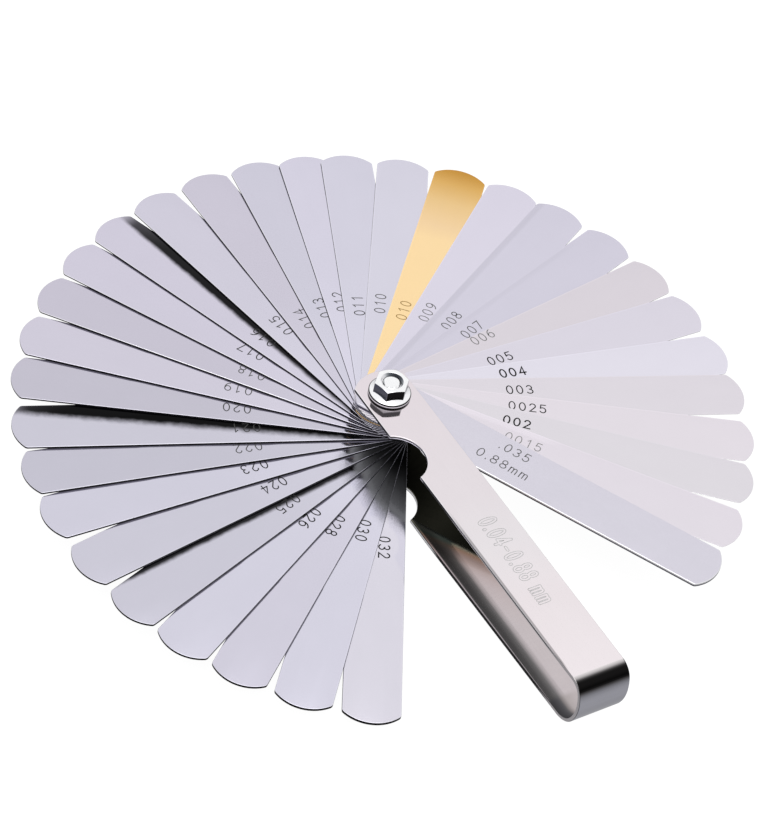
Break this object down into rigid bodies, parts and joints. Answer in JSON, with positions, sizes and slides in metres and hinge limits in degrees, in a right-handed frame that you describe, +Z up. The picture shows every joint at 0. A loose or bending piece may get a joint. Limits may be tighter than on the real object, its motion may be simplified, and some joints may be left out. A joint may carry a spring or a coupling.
{
  "type": "feeler gauge",
  "caption": "Feeler gauge: flat leaf blades of graded thickness fan out on a screw and nut from a folded sheet-steel handle with a thumb notch; one leaf is brass.",
  "frame": {"origin": "On the pivot axis, in the plane of the screw head's flat underside, which the gauge rests on.", "axes": "+X runs along the handle from the pivot to its bend; +Z runs up the pivot screw towards the nut; +Y completes the frame. The rest pose is the open fan."},
  "size_m": [0.1757, 0.1693, 0.0212],
  "materials": {
    "leaf_steel": "ground and fine-polished spring steel, satin with soft reflections",
    "leaf_brass": "rolled brass, satin, warm gold",
    "handle_steel": "polished sheet steel, near mirror with faint lengthwise grain",
    "screw_zinc": "bright zinc plate on steel",
    "nut_zinc": "bright zinc plate on steel"
  },
  "bodies": {
    "handle": {"handle": "handle_steel", "pivot_screw": "screw_zinc"},
    "nut": {"hex_flange_nut": "nut_zinc"},
    "leaf_035": {"blade_035in_088mm": "leaf_steel"},
    "leaf_0015": {"blade_0015in_004mm": "leaf_steel"},
    "leaf_002": {"blade_002in_005mm": "leaf_steel"},
    "leaf_0025": {"blade_0025in_006mm": "leaf_steel"},
    "leaf_003": {"blade_003in_008mm": "leaf_steel"},
    "leaf_004": {"blade_004in_010mm": "leaf_steel"},
    "leaf_005": {"blade_005in_013mm": "leaf_steel"},
    "leaf_006": {"blade_006in_015mm": "leaf_steel"},
    "leaf_007": {"blade_007in_018mm": "leaf_steel"},
    "leaf_008": {"blade_008in_020mm": "leaf_steel"},
    "leaf_009": {"blade_009in_023mm": "leaf_steel"},
    "leaf_010_brass": {"blade_010in_025mm_brass": "leaf_brass"},
    "leaf_010": {"blade_010in_025mm": "leaf_steel"},
    "leaf_011": {"blade_011in_028mm": "leaf_steel"},
    "leaf_012": {"blade_012in_030mm": "leaf_steel"},
    "leaf_013": {"blade_013in_033mm": "leaf_steel"},
    "leaf_014": {"blade_014in_035mm": "leaf_steel"},
    "leaf_015": {"blade_015in_038mm": "leaf_steel"},
    "leaf_016": {"blade_016in_040mm": "leaf_steel"},
    "leaf_017": {"blade_017in_043mm": "leaf_steel"},
    "leaf_018": {"blade_018in_045mm": "leaf_steel"},
    "leaf_019": {"blade_019in_048mm": "leaf_steel"},
    "leaf_020": {"blade_020in_050mm": "leaf_steel"},
    "leaf_021": {"blade_021in_053mm": "leaf_steel"},
    "leaf_022": {"blade_022in_055mm": "leaf_steel"},
    "leaf_023": {"blade_023in_058mm": "leaf_steel"},
    "leaf_024": {"blade_024in_060mm": "leaf_steel"},
    "leaf_025": {"blade_025in_063mm": "leaf_steel"},
    "leaf_026": {"blade_026in_065mm": "leaf_steel"},
    "leaf_028": {"blade_028in_070mm": "leaf_steel"},
    "leaf_030": {"blade_030in_075mm": "leaf_steel"},
    "leaf_032": {"blade_032in_080mm": "leaf_steel"}
  },
  "joints": [
    {"name": "nut_turn", "type": "hinge", "parent": "handle", "child": "nut", "pos_m": [0, 0, 0.01914], "axis": [0, 0, 1], "continuous": true},
    {"name": "leaf_035_swing", "type": "hinge", "parent": "handle", "child": "leaf_035", "pos_m": [0, 0, 0.01574], "axis": [0, 0, 1], "range_deg": [-28.6, 331.4]},
    {"name": "leaf_0015_swing", "type": "hinge", "parent": "handle", "child": "leaf_0015", "pos_m": [0, 0, 0.01525], "axis": [0, 0, 1], "range_deg": [-38.8, 321.2]},
    {"name": "leaf_002_swing", "type": "hinge", "parent": "handle", "child": "leaf_002", "pos_m": [0, 0, 0.01517], "axis": [0, 0, 1], "range_deg": [-49.2, 310.8]},
    {"name": "leaf_0025_swing", "type": "hinge", "parent": "handle", "child": "leaf_0025", "pos_m": [0, 0, 0.01509], "axis": [0, 0, 1], "range_deg": [-58.7, 301.3]},
    {"name": "leaf_003_swing", "type": "hinge", "parent": "handle", "child": "leaf_003", "pos_m": [0, 0, 0.01499], "axis": [0, 0, 1], "range_deg": [-69.2, 290.8]},
    {"name": "leaf_004_swing", "type": "hinge", "parent": "handle", "child": "leaf_004", "pos_m": [0, 0, 0.01487], "axis": [0, 0, 1], "range_deg": [-78.3, 281.7]},
    {"name": "leaf_005_swing", "type": "hinge", "parent": "handle", "child": "leaf_005", "pos_m": [0, 0, 0.01473], "axis": [0, 0, 1], "range_deg": [-88.4, 271.6]},
    {"name": "leaf_006_swing", "type": "hinge", "parent": "handle", "child": "leaf_006", "pos_m": [0, 0, 0.01456], "axis": [0, 0, 1], "range_deg": [-98.1, 261.9]},
    {"name": "leaf_007_swing", "type": "hinge", "parent": "handle", "child": "leaf_007", "pos_m": [0, 0, 0.01436], "axis": [0, 0, 1], "range_deg": [-108.1, 251.9]},
    {"name": "leaf_008_swing", "type": "hinge", "parent": "handle", "child": "leaf_008", "pos_m": [0, 0, 0.01414], "axis": [0, 0, 1], "range_deg": [-118.1, 241.9]},
    {"name": "leaf_009_swing", "type": "hinge", "parent": "handle", "child": "leaf_009", "pos_m": [0, 0, 0.01389], "axis": [0, 0, 1], "range_deg": [-127.1, 232.9]},
    {"name": "leaf_010_brass_swing", "type": "hinge", "parent": "handle", "child": "leaf_010_brass", "pos_m": [0, 0, 0.01362], "axis": [0, 0, 1], "range_deg": [-136.5, 223.5]},
    {"name": "leaf_010_swing", "type": "hinge", "parent": "handle", "child": "leaf_010", "pos_m": [0, 0, 0.01334], "axis": [0, 0, 1], "range_deg": [-146.4, 213.6]},
    {"name": "leaf_011_swing", "type": "hinge", "parent": "handle", "child": "leaf_011", "pos_m": [0, 0, 0.01305], "axis": [0, 0, 1], "range_deg": [-156.1, 203.9]},
    {"name": "leaf_012_swing", "type": "hinge", "parent": "handle", "child": "leaf_012", "pos_m": [0, 0, 0.01273], "axis": [0, 0, 1], "range_deg": [-163.4, 196.6]},
    {"name": "leaf_013_swing", "type": "hinge", "parent": "handle", "child": "leaf_013", "pos_m": [0, 0, 0.01239], "axis": [0, 0, 1], "range_deg": [-172.1, 187.9]},
    {"name": "leaf_014_swing", "type": "hinge", "parent": "handle", "child": "leaf_014", "pos_m": [0, 0, 0.01201], "axis": [0, 0, 1], "range_deg": [-181.7, 178.3]},
    {"name": "leaf_015_swing", "type": "hinge", "parent": "handle", "child": "leaf_015", "pos_m": [0, 0, 0.01162], "axis": [0, 0, 1], "range_deg": [-191.8, 168.2]},
    {"name": "leaf_016_swing", "type": "hinge", "parent": "handle", "child": "leaf_016", "pos_m": [0, 0, 0.0112], "axis": [0, 0, 1], "range_deg": [-201.4, 158.6]},
    {"name": "leaf_017_swing", "type": "hinge", "parent": "handle", "child": "leaf_017", "pos_m": [0, 0, 0.01076], "axis": [0, 0, 1], "range_deg": [-210.8, 149.2]},
    {"name": "leaf_018_swing", "type": "hinge", "parent": "handle", "child": "leaf_018", "pos_m": [0, 0, 0.01029], "axis": [0, 0, 1], "range_deg": [-220.3, 139.7]},
    {"name": "leaf_019_swing", "type": "hinge", "parent": "handle", "child": "leaf_019", "pos_m": [0, 0, 0.00979], "axis": [0, 0, 1], "range_deg": [-229.9, 130.1]},
    {"name": "leaf_020_swing", "type": "hinge", "parent": "handle", "child": "leaf_020", "pos_m": [0, 0, 0.00927], "axis": [0, 0, 1], "range_deg": [-239.2, 120.8]},
    {"name": "leaf_021_swing", "type": "hinge", "parent": "handle", "child": "leaf_021", "pos_m": [0, 0, 0.00873], "axis": [0, 0, 1], "range_deg": [-249.5, 110.5]},
    {"name": "leaf_022_swing", "type": "hinge", "parent": "handle", "child": "leaf_022", "pos_m": [0, 0, 0.00816], "axis": [0, 0, 1], "range_deg": [-258.8, 101.2]},
    {"name": "leaf_023_swing", "type": "hinge", "parent": "handle", "child": "leaf_023", "pos_m": [0, 0, 0.00756], "axis": [0, 0, 1], "range_deg": [-268, 92]},
    {"name": "leaf_024_swing", "type": "hinge", "parent": "handle", "child": "leaf_024", "pos_m": [0, 0, 0.00694], "axis": [0, 0, 1], "range_deg": [-278.3, 81.7]},
    {"name": "leaf_025_swing", "type": "hinge", "parent": "handle", "child": "leaf_025", "pos_m": [0, 0, 0.0063], "axis": [0, 0, 1], "range_deg": [-288.3, 71.7]},
    {"name": "leaf_026_swing", "type": "hinge", "parent": "handle", "child": "leaf_026", "pos_m": [0, 0, 0.00562], "axis": [0, 0, 1], "range_deg": [-297.9, 62.1]},
    {"name": "leaf_028_swing", "type": "hinge", "parent": "handle", "child": "leaf_028", "pos_m": [0, 0, 0.00492], "axis": [0, 0, 1], "range_deg": [-307.6, 52.4]},
    {"name": "leaf_030_swing", "type": "hinge", "parent": "handle", "child": "leaf_030", "pos_m": [0, 0, 0.00417], "axis": [0, 0, 1], "range_deg": [-317.7, 42.3]},
    {"name": "leaf_032_swing", "type": "hinge", "parent": "handle", "child": "leaf_032", "pos_m": [0, 0, 0.00336], "axis": [0, 0, 1], "range_deg": [-328, 32]}
  ]
}
